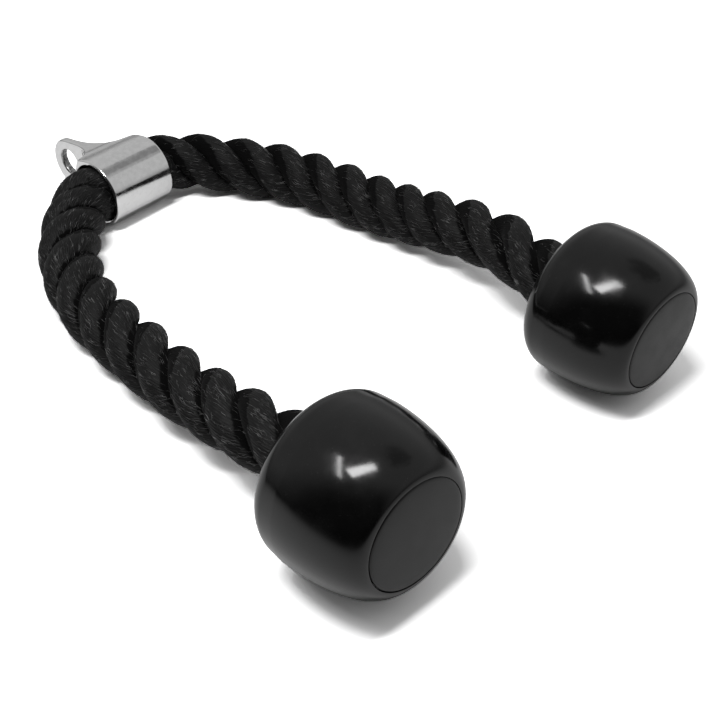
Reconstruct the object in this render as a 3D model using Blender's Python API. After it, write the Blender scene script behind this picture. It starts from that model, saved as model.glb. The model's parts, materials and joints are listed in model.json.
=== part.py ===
"""Triceps rope: a thick laid rope drawn through a steel eye ferrule, with a moulded stopper on each end.

The rope lies on the floor as a U. +X runs along the ferrule's sleeve, the eye points to +Y, both legs
run to -Y and +Z is up. The origin is on the floor, under the middle of the box round the ferrule and
the stoppers. Lengths are metres, angles are degrees where their name says so.
"""
import math

import bmesh
import bpy
from mathutils import Matrix, Vector

# Clearances
JOIN_GAP = 0.0003
TURNING_GAP = 0.0005

# Rope
ROPE_DIAMETER = 0.031
ROPE_TIP_LENGTH = 0.002
ROPE_TIP_ROUND = 0.0015
TUBE_STEP = 0.0115
TUBE_END_RUN = 0.004
TUBE_BEVEL_RESOLUTION = 4
CURVE_SAMPLES = 24

# Ferrule, cast in one piece: a short sleeve with a flared lug and an eye
FERRULE_X = 0.02645
FERRULE_Y = 0.12395
SLEEVE_LENGTH = 0.0392
SLEEVE_WALL = 0.0027
SLEEVE_OUTER_ROUND = 0.0009
SLEEVE_MOUTH_ROUND = 0.0013
EYE_REACH = 0.0418
EYE_DROP = 0.0043
EYE_NOSE_RADIUS = 0.0143
EYE_HOLE_RADIUS = 0.0071
EYE_HOLE_RISE = 0.0012
LUG_THICKNESS = 0.0046
LUG_SHIFT = -0.0020
LUG_EDGE_ROUND = 0.0014
LUG_SINK = 0.0003
# The lug thickens smoothly over this length, up to this distance from the sleeve's axis
FLARE_LENGTH = 0.038
FLARE_ROOT = 0.0067
FLARE_POWER = 4
TOOL_OVERRUN = 0.020

# Rope stopper: a moulded knob, turned about the rope's axis
KNOB_RADIUS = 0.036
KNOB_LENGTH = 0.0528
KNOB_BACK_ROUND = 0.0099
KNOB_BULGE = 0.0004
KNOB_SHOULDER_START = 0.0155
KNOB_BORE_EDGE_ROUND = 0.0015

# End cap, pressed into the knob's open end
CAP_RADIUS = 0.0232
CAP_SEAM = 0.0004
CAP_THICKNESS = 0.003
CAP_EDGE_ROUND = 0.0006
CAP_DOME = 0.0008
CAP_SKIRT_LENGTH = 0.007
CAP_SKIRT_WALL = 0.002

# Steel washer and crimp band that hold the rope's end in the knob
WASHER_OVERHANG = 0.003
WASHER_THICKNESS = 0.002
CRIMP_WALL = 0.0018
CRIMP_LENGTH = 0.017
CRIMP_GROOVE_DEPTH = 0.0006
CRIMP_GROOVE_HALF_WIDTH = 0.0014
# Room between the rope's tip and the cap's skirt
TIP_ROOM = 0.0012

# Counts
TURNED_STEPS = 48
FEWER_STEPS = 24
ARC_STEPS = 5
SHOULDER_STEPS = 9
FLARE_STEPS = 12
EYE_STEPS = 40
HOLE_STEPS = 32

# Where each knob's back face lies on the floor, and how the rope runs into it
LEFT_KNOB_X = -0.07750
LEFT_KNOB_Y = -0.11600
LEFT_KNOB_AZIMUTH_DEG = -96.4
LEFT_KNOB_TILT_DEG = 5.1
RIGHT_KNOB_X = 0.08140
RIGHT_KNOB_Y = -0.12490
RIGHT_KNOB_AZIMUTH_DEG = -96.6
RIGHT_KNOB_TILT_DEG = 0.5

# Straight runs of the rope at the ferrule's mouths and at the knobs' backs
MOUTH_RUN = 0.004
KNOB_RUN = 0.006
# How far along the rope from a mouth the leg's bend has its middle, where its joint is
BEND_REACH = 0.026

# The rope's route between those runs, from the ferrule to the knob, chosen by hand
LEFT_ROUTE = [
    (-0.0065, 0.1190, 0.0185),
    (-0.0200, 0.1086, 0.0177),
    (-0.0335, 0.0943, 0.0167),
    (-0.0455, 0.0763, 0.0161),
    (-0.0540, 0.0577, 0.0158),
    (-0.0591, 0.0399, 0.0160),
    (-0.0621, 0.0229, 0.0164),
    (-0.0647, 0.0059, 0.0173),
    (-0.0673, -0.0111, 0.0187),
    (-0.0695, -0.0271, 0.0206),
    (-0.0713, -0.0431, 0.0229),
    (-0.0729, -0.0581, 0.0255),
    (-0.0744, -0.0732, 0.0282),
    (-0.0755, -0.0882, 0.0312),
]
RIGHT_ROUTE = [
    (0.0630, 0.1158, 0.0178),
    (0.0754, 0.1024, 0.0168),
    (0.0849, 0.0867, 0.0161),
    (0.0925, 0.0716, 0.0158),
    (0.0975, 0.0559, 0.0158),
    (0.1002, 0.0389, 0.0158),
    (0.1016, 0.0219, 0.0160),
    (0.1028, 0.0049, 0.0168),
    (0.1039, -0.0121, 0.0182),
    (0.1048, -0.0291, 0.0207),
    (0.1050, -0.0461, 0.0237),
    (0.1028, -0.0634, 0.0272),
    (0.0973, -0.0811, 0.0311),
    (0.0896, -0.0982, 0.0350),
]

# Worked out from the sizes above
ROPE_RADIUS = ROPE_DIAMETER / 2
SLEEVE_BORE_RADIUS = ROPE_RADIUS + TURNING_GAP
SLEEVE_RADIUS = SLEEVE_BORE_RADIUS + SLEEVE_WALL
KNOB_BORE_RADIUS = ROPE_RADIUS + TURNING_GAP
BAND_BORE_RADIUS = ROPE_RADIUS + JOIN_GAP
WASHER_RADIUS = KNOB_BORE_RADIUS + WASHER_OVERHANG
WELL_RADIUS = WASHER_RADIUS + TURNING_GAP
CRIMP_RADIUS = BAND_BORE_RADIUS + CRIMP_WALL
CAP_SEAT = KNOB_LENGTH - CAP_THICKNESS
CAP_FOOT = CAP_SEAT - CAP_SKIRT_LENGTH
ROPE_TIP = CAP_FOOT - TIP_ROOM
CRIMP_END = ROPE_TIP - ROPE_TIP_LENGTH
CRIMP_START = CRIMP_END - CRIMP_LENGTH
WASHER_START = CRIMP_START - JOIN_GAP - WASHER_THICKNESS
KNOB_NECK_LENGTH = WASHER_START - JOIN_GAP

# Surface finishes: colour, roughness, metallic
FINISHES = {
    "ferrule_chrome": ((0.80, 0.80, 0.80), 0.14, 1.0),
    "steel": ((0.58, 0.58, 0.57), 0.35, 1.0),
    "rope_nylon": ((0.016, 0.016, 0.017), 0.75, 0.0),
    "knob_rubber": ((0.020, 0.020, 0.021), 0.28, 0.0),
    "cap_plastic": ((0.030, 0.030, 0.031), 0.42, 0.0),
}


def clear_scene():
    for thing in list(bpy.data.objects):
        bpy.data.objects.remove(thing, do_unlink=True)


def make_materials():
    made = {}
    for name, (colour, roughness, metallic) in FINISHES.items():
        material = bpy.data.materials.new(name)
        material.use_nodes = True
        shader = material.node_tree.nodes["Principled BSDF"]
        shader.inputs["Base Color"].default_value = (*colour, 1.0)
        shader.inputs["Roughness"].default_value = roughness
        shader.inputs["Metallic"].default_value = metallic
        made[name] = material
    return made


def link(thing):
    bpy.context.scene.collection.objects.link(thing)
    return thing


def add_empty(name, matrix, parent=None):
    """An empty that carries pieces; its origin is the axis that they turn about."""
    empty = link(bpy.data.objects.new(name, None))
    empty.parent = parent
    if parent:
        empty.matrix_basis = parent.matrix_world.inverted() @ matrix
    else:
        empty.matrix_basis = matrix
    bpy.context.view_layer.update()
    return empty


def face_outwards(form):
    bmesh.ops.recalc_face_normals(form, faces=form.faces)
    if form.calc_volume(signed=True) < 0:
        bmesh.ops.reverse_faces(form, faces=form.faces)


def add_solid(name, form, material, parent):
    """A named object from a bmesh, placed by its parent."""
    face_outwards(form)
    mesh = bpy.data.meshes.new(name)
    form.to_mesh(mesh)
    form.free()
    mesh.materials.append(material)
    mesh.shade_smooth()
    mesh.set_sharp_from_angle(angle=math.radians(35))
    thing = link(bpy.data.objects.new(name, mesh))
    thing.parent = parent
    return thing


def arc(centre, radii, start_deg, end_deg, steps):
    """Points on an elliptical arc in a plane, both ends included."""
    points = []
    for step in range(steps + 1):
        angle = math.radians(start_deg + (end_deg - start_deg) * step / steps)
        points.append((centre[0] + radii[0] * math.cos(angle), centre[1] + radii[1] * math.sin(angle)))
    return points


def turned(outline, steps):
    """A solid of revolution about local Z from (radius, height) points, listed once round."""
    form = bmesh.new()
    verts = [form.verts.new((radius, 0, height)) for radius, height in outline]
    closed = outline[0][0] > 0 and outline[-1][0] > 0
    pairs = list(zip(verts, verts[1:]))
    if closed:
        pairs.append((verts[-1], verts[0]))
    edges = [form.edges.new(pair) for pair in pairs]
    bmesh.ops.spin(form, geom=verts + edges, cent=(0, 0, 0), axis=(0, 0, 1), angle=2 * math.pi,
                   steps=steps, use_merge=True, use_normal_flip=False, use_duplicate=False)
    on_axis = [v for v in form.verts if math.hypot(v.co.x, v.co.y) < JOIN_GAP / 100]
    bmesh.ops.remove_doubles(form, verts=on_axis, dist=JOIN_GAP / 100)
    return form


def prism(outline, depth, matrix):
    """A flat outline in XY, drawn out evenly to both sides along Z, then set in place."""
    form = bmesh.new()
    face = form.faces.new([form.verts.new((x, y, -depth / 2)) for x, y in outline])
    drawn = bmesh.ops.extrude_face_region(form, geom=[face])
    moved = [item for item in drawn["geom"] if isinstance(item, bmesh.types.BMVert)]
    bmesh.ops.translate(form, verts=moved, vec=(0, 0, depth))
    form.transform(matrix)
    return form


def cut_or_join(target, tool, operation):
    """A Boolean on the target with a wire tool."""
    modifier = target.modifiers.new(tool.name, "BOOLEAN")
    modifier.operation = operation
    modifier.object = tool
    modifier.solver = "EXACT"


def add_tool(name, form, parent):
    """A cutter or an added volume, shown as a wire and left out of renders."""
    face_outwards(form)
    mesh = bpy.data.meshes.new(name)
    form.to_mesh(mesh)
    form.free()
    tool = link(bpy.data.objects.new(name, mesh))
    tool.parent = parent
    tool.hide_render = True
    tool.display_type = "WIRE"
    return tool


def smooth_curve(points, samples):
    """Points on a centripetal Catmull-Rom curve through the given ones."""
    first = points[0] * 2 - points[1]
    last = points[-1] * 2 - points[-2]
    padded = [first] + points + [last]
    curve = []
    for i in range(len(points) - 1):
        p0, p1, p2, p3 = padded[i:i + 4]
        t1 = (p1 - p0).length ** 0.5
        t2 = t1 + (p2 - p1).length ** 0.5
        t3 = t2 + (p3 - p2).length ** 0.5
        for step in range(samples):
            t = t1 + (t2 - t1) * step / samples
            a1 = p0.lerp(p1, t / t1)
            a2 = p1.lerp(p2, (t - t1) / (t2 - t1))
            a3 = p2.lerp(p3, (t - t2) / (t3 - t2))
            b1 = a1.lerp(a2, t / t2)
            b2 = a2.lerp(a3, (t - t1) / (t3 - t1))
            curve.append(b1.lerp(b2, (t - t1) / (t2 - t1)))
    curve.append(points[-1])
    return curve


def distances_along(curve):
    along = [0.0]
    for a, b in zip(curve, curve[1:]):
        along.append(along[-1] + (b - a).length)
    return along


def point_at(curve, along, distance):
    """The point on a curve at a distance from its start."""
    for i in range(1, len(curve)):
        if along[i] >= distance:
            share = (distance - along[i - 1]) / (along[i] - along[i - 1])
            return curve[i - 1].lerp(curve[i], share)
    return curve[-1]


def stretch_points(curve, start, end, start_direction, end_direction):
    """Even points from one distance along a curve to another, with a short straight run at both ends."""
    along = distances_along(curve)
    first = point_at(curve, along, start)
    last = point_at(curve, along, end)
    inner_start = start + TUBE_END_RUN
    inner_end = end - TUBE_END_RUN
    count = max(2, math.ceil((inner_end - inner_start) / TUBE_STEP))
    points = [first, first + start_direction * TUBE_END_RUN]
    for i in range(1, count):
        points.append(point_at(curve, along, inner_start + (inner_end - inner_start) * i / count))
    points += [last - end_direction * TUBE_END_RUN, last]
    return points


def add_tube(name, points, material, parent):
    """A round rope stretch with closed ends along the points."""
    data = bpy.data.curves.new(name, "CURVE")
    data.dimensions = "3D"
    data.bevel_depth = ROPE_RADIUS
    data.bevel_resolution = TUBE_BEVEL_RESOLUTION
    data.use_fill_caps = True
    spline = data.splines.new("POLY")
    spline.points.add(len(points) - 1)
    into_parent = parent.matrix_world.inverted()
    for target, point in zip(spline.points, points):
        target.co = (*(into_parent @ point), 1.0)
    data.materials.append(material)
    thing = link(bpy.data.objects.new(name, data))
    thing.parent = parent
    return thing


def sleeve_outline():
    """The sleeve's wall in section, with both mouths rounded inside and out."""
    half = SLEEVE_LENGTH / 2
    mouth = SLEEVE_MOUTH_ROUND
    edge = SLEEVE_OUTER_ROUND
    points = arc((SLEEVE_BORE_RADIUS + mouth, mouth - half), (mouth, mouth), 180, 270, ARC_STEPS)
    points += arc((SLEEVE_RADIUS - edge, edge - half), (edge, edge), 270, 360, ARC_STEPS)
    points += arc((SLEEVE_RADIUS - edge, half - edge), (edge, edge), 0, 90, ARC_STEPS)
    points += arc((SLEEVE_BORE_RADIUS + mouth, half - mouth), (mouth, mouth), 90, 180, ARC_STEPS)
    return points


def lug_section():
    """The lug seen along the sleeve: the eye's round nose, with lines that touch the sleeve."""
    reach = math.hypot(EYE_REACH, EYE_DROP)
    touch_deg = math.degrees(math.acos((SLEEVE_RADIUS - EYE_NOSE_RADIUS) / reach))
    nose = arc((reach, 0), (EYE_NOSE_RADIUS, EYE_NOSE_RADIUS), -touch_deg, touch_deg, EYE_STEPS)
    root_radius = SLEEVE_RADIUS - LUG_SINK
    root = arc((0, 0), (root_radius, root_radius), touch_deg, 360 - touch_deg, EYE_STEPS)
    return nose + root


def lug_plan():
    """The lug seen from above: a plate that thickens smoothly to the sleeve's length at its root."""
    half_plate = LUG_THICKNESS / 2
    nose_end = math.hypot(EYE_REACH, EYE_DROP) + EYE_NOSE_RADIUS
    edge = LUG_EDGE_ROUND
    sides = []
    for sign in (1, -1):
        half_root = SLEEVE_LENGTH / 2 - SLEEVE_OUTER_ROUND - sign * LUG_SHIFT
        side = [(half_root, 0)]
        for step in range(FLARE_STEPS + 1):
            share = math.sqrt(1 - step / FLARE_STEPS)
            across = half_plate + (half_root - half_plate) * share ** FLARE_POWER
            side.append((across, FLARE_ROOT + FLARE_LENGTH * (1 - share)))
        side += arc((half_plate - edge, nose_end - edge), (edge, edge), 0, 90, ARC_STEPS)
        sides.append([(along, LUG_SHIFT + sign * across) for across, along in side])
    return sides[0] + sides[1][::-1]


def build_ferrule(materials):
    """The sleeve is turned; the lug is its end view crossed with its plan, joined on and drilled."""
    base = add_empty("ferrule_origin", Matrix.Translation((FERRULE_X, FERRULE_Y, SLEEVE_RADIUS)))
    droop = math.atan2(EYE_DROP, EYE_REACH)
    along_sleeve = Matrix.Rotation(math.pi / 2, 4, "Y")
    sleeve_form = turned(sleeve_outline(), TURNED_STEPS)
    sleeve_form.transform(along_sleeve)
    ferrule = add_solid("eye_ferrule", sleeve_form, materials["ferrule_chrome"], base)

    # The lug's outlines start at the sleeve's axis and run out to the eye
    tool_depth = SLEEVE_LENGTH + 2 * TOOL_OVERRUN
    end_view = Matrix(((0, 0, 1, 0), (math.cos(droop), math.sin(droop), 0, 0),
                       (-math.sin(droop), math.cos(droop), 0, 0), (0, 0, 0, 1)))
    plan_view = Matrix(((0, 1, 0, 0), (math.cos(droop), 0, math.sin(droop), 0),
                        (-math.sin(droop), 0, math.cos(droop), 0), (0, 0, 0, 1)))
    lug = add_tool("lug_body", prism(lug_section(), SLEEVE_LENGTH, end_view), base)
    plan = add_tool("lug_plan", prism(lug_plan(), tool_depth, plan_view), base)
    bore_outline = arc((0, 0), (SLEEVE_RADIUS - SLEEVE_WALL / 2,) * 2, 0, 360 * (1 - 1 / TURNED_STEPS),
                       TURNED_STEPS - 1)
    bore = add_tool("lug_bore", prism(bore_outline, tool_depth, end_view), base)
    reach = math.hypot(EYE_REACH, EYE_DROP)
    hole_outline = arc((reach, EYE_HOLE_RISE), (EYE_HOLE_RADIUS,) * 2, 0, 360 * (1 - 1 / HOLE_STEPS),
                       HOLE_STEPS - 1)
    hole = add_tool("eye_hole", prism(hole_outline, tool_depth, end_view), base)
    cut_or_join(lug, plan, "INTERSECT")
    cut_or_join(lug, bore, "DIFFERENCE")
    cut_or_join(lug, hole, "DIFFERENCE")
    cut_or_join(ferrule, lug, "UNION")
    return base


def build_core(materials, base):
    """The rope's middle, gripped by the sleeve."""
    half = SLEEVE_LENGTH / 2
    form = turned([(0, -half), (ROPE_RADIUS, -half), (ROPE_RADIUS, half), (0, half)], FEWER_STEPS)
    form.transform(Matrix.Rotation(math.pi / 2, 4, "Y"))
    add_solid("rope_core", form, materials["rope_nylon"], base)


def knob_outline():
    """The knob in section: rounded back, barrel side, wide shoulder, cap seat, well and bore."""
    rim = KNOB_RADIUS + KNOB_BULGE
    edge = KNOB_BORE_EDGE_ROUND
    back = KNOB_BACK_ROUND
    points = arc((KNOB_BORE_RADIUS + edge, edge), (edge, edge), 180, 270, ARC_STEPS)
    points += arc((KNOB_RADIUS - back, back), (back, back), 270, 360, ARC_STEPS + 1)
    points += arc((CAP_RADIUS, KNOB_SHOULDER_START), (rim - CAP_RADIUS, KNOB_LENGTH - KNOB_SHOULDER_START),
                  0, 90, SHOULDER_STEPS)
    seat = CAP_SEAT - JOIN_GAP
    points += [(CAP_RADIUS, seat), (WELL_RADIUS, seat)]
    points += [(WELL_RADIUS, KNOB_NECK_LENGTH), (KNOB_BORE_RADIUS, KNOB_NECK_LENGTH)]
    return points


def cap_outline():
    """The cap in section: a domed disc on a skirt that plugs into the well."""
    rim = CAP_RADIUS - CAP_SEAM
    edge = CAP_EDGE_ROUND
    skirt = WELL_RADIUS - JOIN_GAP
    points = [(0, CAP_SEAT), (skirt - CAP_SKIRT_WALL, CAP_SEAT), (skirt - CAP_SKIRT_WALL, CAP_FOOT)]
    points += [(skirt, CAP_FOOT), (skirt, CAP_SEAT), (rim, CAP_SEAT)]
    points += arc((rim - edge, KNOB_LENGTH - edge), (edge, edge), 0, 90, ARC_STEPS - 2)
    dome = arc((0, KNOB_LENGTH), (rim - edge, CAP_DOME), 0, 90, ARC_STEPS)[1:-1]
    return points + dome + [(0, KNOB_LENGTH + CAP_DOME)]


def ring_outline(inner, outer, start, end):
    return [(inner, start), (outer, start), (outer, end), (inner, end)]


def crimp_outline():
    """The crimp band in section, with two pressed grooves round it."""
    points = [(BAND_BORE_RADIUS, CRIMP_START), (CRIMP_RADIUS, CRIMP_START)]
    for groove in (1, 2):
        middle = CRIMP_START + CRIMP_LENGTH * groove / 3
        points.append((CRIMP_RADIUS, middle - CRIMP_GROOVE_HALF_WIDTH))
        points.append((CRIMP_RADIUS - CRIMP_GROOVE_DEPTH, middle))
        points.append((CRIMP_RADIUS, middle + CRIMP_GROOVE_HALF_WIDTH))
    return points + [(CRIMP_RADIUS, CRIMP_END), (BAND_BORE_RADIUS, CRIMP_END)]


def rope_end_outline():
    """The rope inside the knob, sealed to a blunt round tip."""
    tip = ROPE_TIP_ROUND
    corner = arc((ROPE_RADIUS - tip, ROPE_TIP - tip), (tip, tip), 0, 90, ARC_STEPS - 2)
    return [(0, 0), (ROPE_RADIUS, 0)] + corner + [(0, ROPE_TIP)]


def knob_frame(x, y, azimuth_deg, tilt_deg):
    """Where a knob rests: local Z runs out of the rope, and the knob's lowest ring touches the floor."""
    tilt = math.radians(tilt_deg)
    azimuth = math.radians(azimuth_deg)
    height = max(radius * math.cos(tilt) - along * math.sin(tilt) for radius, along in knob_outline())
    out = Vector((math.cos(azimuth) * math.cos(tilt), math.sin(azimuth) * math.cos(tilt), math.sin(tilt)))
    side = Vector((-math.sin(azimuth), math.cos(azimuth), 0))
    up = out.cross(side)
    turn = Matrix((side, up, out)).transposed().to_4x4()
    return Matrix.Translation((x, y, height)) @ turn


def leg_curve(mouth_sign, route, knob):
    """The leg's smooth centre line, from the ferrule's mouth to the knob's back."""
    mouth = Vector((FERRULE_X + mouth_sign * SLEEVE_LENGTH / 2, FERRULE_Y, SLEEVE_RADIUS))
    outward = Vector((mouth_sign, 0, 0))
    back = knob.to_translation()
    along = knob.to_3x3() @ Vector((0, 0, 1))
    points = [mouth + outward * JOIN_GAP, mouth + outward * MOUTH_RUN]
    points += [Vector(point) for point in route]
    points += [back - along * KNOB_RUN, back - along * JOIN_GAP]
    return smooth_curve(points, CURVE_SAMPLES)


def build_leg(side, mouth_sign, route, knob, materials, base):
    """One leg of the rope and the stopper at its end."""
    curve = leg_curve(mouth_sign, route, knob)
    along = distances_along(curve)
    rope = materials["rope_nylon"]
    bend = point_at(curve, along, BEND_REACH)
    bend_direction = (point_at(curve, along, BEND_REACH + JOIN_GAP) - bend).normalized()
    outward = Vector((mouth_sign, 0, 0))
    knob_direction = knob.to_3x3() @ Vector((0, 0, 1))
    leg = add_empty(side + "_leg_bend", Matrix.Translation(bend), base)
    tip = add_empty(side + "_rope_tip_axis", knob, leg)
    stopper = add_empty(side + "_stopper_axis", knob, leg)

    before_bend = BEND_REACH - JOIN_GAP / 2
    mouth_points = stretch_points(curve, 0, before_bend, outward, bend_direction)
    add_tube(side + "_mouth_rope", mouth_points, rope, base)
    leg_points = stretch_points(curve, before_bend + JOIN_GAP, along[-1], bend_direction, knob_direction)
    add_tube(side + "_leg_rope", leg_points, rope, leg)

    add_solid(side + "_rope_end", turned(rope_end_outline(), FEWER_STEPS), rope, tip)
    washer = ring_outline(BAND_BORE_RADIUS, WASHER_RADIUS, WASHER_START, WASHER_START + WASHER_THICKNESS)
    add_solid(side + "_washer", turned(washer, TURNED_STEPS), materials["steel"], tip)
    add_solid(side + "_crimp_band", turned(crimp_outline(), TURNED_STEPS), materials["steel"], tip)
    add_solid(side + "_knob", turned(knob_outline(), TURNED_STEPS), materials["knob_rubber"], stopper)
    add_solid(side + "_end_cap", turned(cap_outline(), TURNED_STEPS), materials["cap_plastic"], stopper)
    print(side, "leg length", along[-1], "bend at", list(bend), "knob at", list(knob.to_translation()),
          "along", list(knob_direction))


def main():
    clear_scene()
    materials = make_materials()
    base = build_ferrule(materials)
    build_core(materials, base)
    left = knob_frame(LEFT_KNOB_X, LEFT_KNOB_Y, LEFT_KNOB_AZIMUTH_DEG, LEFT_KNOB_TILT_DEG)
    right = knob_frame(RIGHT_KNOB_X, RIGHT_KNOB_Y, RIGHT_KNOB_AZIMUTH_DEG, RIGHT_KNOB_TILT_DEG)
    build_leg("left", -1, LEFT_ROUTE, left, materials, base)
    build_leg("right", 1, RIGHT_ROUTE, right, materials, base)
    bpy.context.view_layer.update()


main()
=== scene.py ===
"""Looks of the triceps rope: laid rope, plated ferrule and glossy stoppers on a white studio floor.

Lengths are metres. Angles are degrees where their name says so. Along a leg, distances run from the
ferrule's mouth to the stopper.
"""
import json
import math

import bpy
import numpy as np
from mathutils import Matrix, Vector


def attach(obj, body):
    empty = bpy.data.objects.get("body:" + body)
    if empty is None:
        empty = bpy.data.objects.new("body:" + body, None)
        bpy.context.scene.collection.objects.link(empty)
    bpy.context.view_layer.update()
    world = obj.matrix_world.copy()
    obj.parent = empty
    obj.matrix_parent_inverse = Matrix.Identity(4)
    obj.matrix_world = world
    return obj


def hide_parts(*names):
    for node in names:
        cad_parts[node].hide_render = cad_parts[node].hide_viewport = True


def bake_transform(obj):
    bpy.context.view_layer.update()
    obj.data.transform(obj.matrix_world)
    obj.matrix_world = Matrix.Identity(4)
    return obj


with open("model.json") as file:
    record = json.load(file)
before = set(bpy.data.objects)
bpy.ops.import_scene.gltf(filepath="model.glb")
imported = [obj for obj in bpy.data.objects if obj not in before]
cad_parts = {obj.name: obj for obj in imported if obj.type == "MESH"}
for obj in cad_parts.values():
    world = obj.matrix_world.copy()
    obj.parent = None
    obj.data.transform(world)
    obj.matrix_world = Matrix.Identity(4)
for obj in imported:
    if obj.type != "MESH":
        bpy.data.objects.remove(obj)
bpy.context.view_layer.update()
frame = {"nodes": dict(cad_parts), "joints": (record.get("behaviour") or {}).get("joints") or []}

# Camera, found from the photo
CAMERA_PLACE = (-0.3001, -0.3244, 0.3406)
CAMERA_AZIMUTH_DEG = 40.25
CAMERA_PITCH_DEG = 39.72
CAMERA_ROLL_DEG = 0.85
CAMERA_LENS_MM = 56.57
CAMERA_SENSOR_MM = 36.0

# Rope
ROPE_DIAMETER = 0.031
STRANDS = 3
STRAND_RADIUS = 0.0072
STRAND_PLACE_RADIUS = ROPE_DIAMETER / 2 - STRAND_RADIUS
STRAND_SWELL = 0.00018
SWELL_STEP = 0.011
YARNS = 38
YARN_POINTS = 4
YARN_RIB = 0.00022
YARN_LEAN_SHARE = 0.92
YARN_UNEVEN_SHARE = 0.22
YARN_UNEVEN_RINGS = 8
RING_STEP = 0.0012
MOUTH_OVERLAP = 0.008
MIDDLE_GAP = 0.0002

# How far the strands have turned round the rope, in turns, at distances along it
LEFT_TURNS = [
    (0.000, 0.303), (0.018, 0.590), (0.036, 0.893), (0.050, 1.110), (0.060, 1.247), (0.080, 1.550),
    (0.100, 1.838), (0.120, 2.123), (0.140, 2.403), (0.160, 2.663), (0.180, 2.913), (0.200, 3.173),
    (0.220, 3.443), (0.240, 3.693), (0.270, 4.053),
]
RIGHT_TURNS = [
    (0.000, 0.153), (0.020, 0.455), (0.040, 0.743), (0.060, 1.029), (0.080, 1.332), (0.100, 1.638),
    (0.120, 1.952), (0.140, 2.280), (0.160, 2.631), (0.180, 2.977), (0.200, 3.263), (0.220, 3.500),
    (0.240, 3.670), (0.276, 4.100),
]

# Loose fibres that stand out of the yarns
FIBRES_PER_METRE = 3600
FIBRE_RADIUS = 0.00006
FIBRE_LENGTHS = (0.0015, 0.0050)
FIBRE_LIFT = 0.00035
FIBRE_SKEW = 0.30
FIBRE_SIDE = -0.35
FIBRE_SPREAD = 0.75
FIBRE_POINTS = 5
FIBRE_SIDES = 3
FIBRE_TAPER_SHARE = 0.7
FIBRE_LIFT_SHAPE = 1.2

# How far the painted shade in the grooves leans round a strand, in radians
GROOVE_SHADE_LEAN = 0.42

# Ferrule
FERRULE_X = 0.02645
FERRULE_Y = 0.12395
SLEEVE_LENGTH = 0.0392
SLEEVE_RADIUS = 0.0187
SLEEVE_BORE_RADIUS = 0.0160
SLEEVE_EDGE_ROUND = 0.0013
EYE_REACH = 0.0418
EYE_DROP = 0.0043
EYE_NOSE_RADIUS = 0.0143
EYE_HOLE_RADIUS = 0.0071
EYE_HOLE_RISE = 0.0012
EYE_HOLE_ROUND = 0.0015
EYE_DROOP = math.atan2(EYE_DROP, EYE_REACH)
EYE_RUN = math.hypot(EYE_REACH, EYE_DROP)
LUG_THICKNESS = 0.0046
LUG_SHIFT = -0.0020
LUG_EDGE_ROUND = 0.0014
LUG_FILLET = 0.007
FLARE_LENGTH = 0.037
FLARE_ROOT = 0.0080
FLARE_OVERRUN = 0.004
FLARE_POWER = 4
FERRULE_VOXEL = 0.0006
PROJECT_STEPS = 6
PROJECT_REACH = 0.0005
SLOPE_STEP = 0.00001

# Stopper
KNOB_RADIUS = 0.036
KNOB_LENGTH = 0.0528
KNOB_BACK_ROUND = 0.0099
KNOB_BULGE = 0.0004
KNOB_SHOULDER_START = 0.0155
KNOB_BORE_RADIUS = 0.0160
KNOB_BORE_EDGE_ROUND = 0.0015
KNOB_BORE_DEPTH = 0.020
KNOB_LIP_ROUND = 0.0002
CAP_RADIUS = 0.0232
CAP_SEAM = 0.0003
CAP_SHIFT = 0.0002
CAP_THICKNESS = 0.003
CAP_EDGE_ROUND = 0.0004
CAP_DOME = 0.0008
ROPE_TIP = 0.0416
KNOB_STEPS = 192
ARC_STEPS = 12
SHARP_ANGLE_DEG = 40.0

# The rope's route beyond the mouths, as in the part
JOIN_GAP = 0.0003
MOUTH_RUN = 0.004
KNOB_RUN = 0.006
CURVE_SAMPLES = 24
LEFT_ROUTE = [
    (-0.0065, 0.1190, 0.0185),
    (-0.0200, 0.1086, 0.0177),
    (-0.0335, 0.0943, 0.0167),
    (-0.0455, 0.0763, 0.0161),
    (-0.0540, 0.0577, 0.0158),
    (-0.0591, 0.0399, 0.0160),
    (-0.0621, 0.0229, 0.0164),
    (-0.0647, 0.0059, 0.0173),
    (-0.0673, -0.0111, 0.0187),
    (-0.0695, -0.0271, 0.0206),
    (-0.0713, -0.0431, 0.0229),
    (-0.0729, -0.0581, 0.0255),
    (-0.0744, -0.0732, 0.0282),
    (-0.0755, -0.0882, 0.0312),
]
RIGHT_ROUTE = [
    (0.0630, 0.1158, 0.0178),
    (0.0754, 0.1024, 0.0168),
    (0.0849, 0.0867, 0.0161),
    (0.0925, 0.0716, 0.0158),
    (0.0975, 0.0559, 0.0158),
    (0.1002, 0.0389, 0.0158),
    (0.1016, 0.0219, 0.0160),
    (0.1028, 0.0049, 0.0168),
    (0.1039, -0.0121, 0.0182),
    (0.1048, -0.0291, 0.0207),
    (0.1050, -0.0461, 0.0237),
    (0.1028, -0.0634, 0.0272),
    (0.0973, -0.0811, 0.0311),
    (0.0896, -0.0982, 0.0350),
]

# Looks of the materials: tones from dark to pale, roughness from smooth to rough, relief's depth
YARN_STREAKS = (2.4, 300.0)
YARN_FIBRES = (9.0, 420.0)
YARN_CLUSTERS = (0.25, 110.0)
YARN_TONES = (0.003, 0.010)
# Painted highlight: glints on the yarn streaks, and their weak share on the strand's shaded side and
# outside clusters
YARN_GLINT = 0.09
YARN_WEAK_GLINT_SHARE = 0.12
YARN_BUMP = 0.00012
# Painted shade in the grooves between strands: where it starts and how dark it gets
GROOVE_SHADE_EDGE = (0.58, 0.73)
GROOVE_SHADE_SHARE = 0.01
# Painted highlight: the black fibres are coloured pale for the light that they catch
FIBRE_LIT_TONES = (0.02, 0.40)
FIBRE_ROUGHNESS = 0.45
PLATING_TONES = (0.76, 0.83)
PLATING_ROUGHNESS = (0.09, 0.17)
PLATING_BUMP = 0.00010
PIT_SHARE = 0.10
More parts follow.
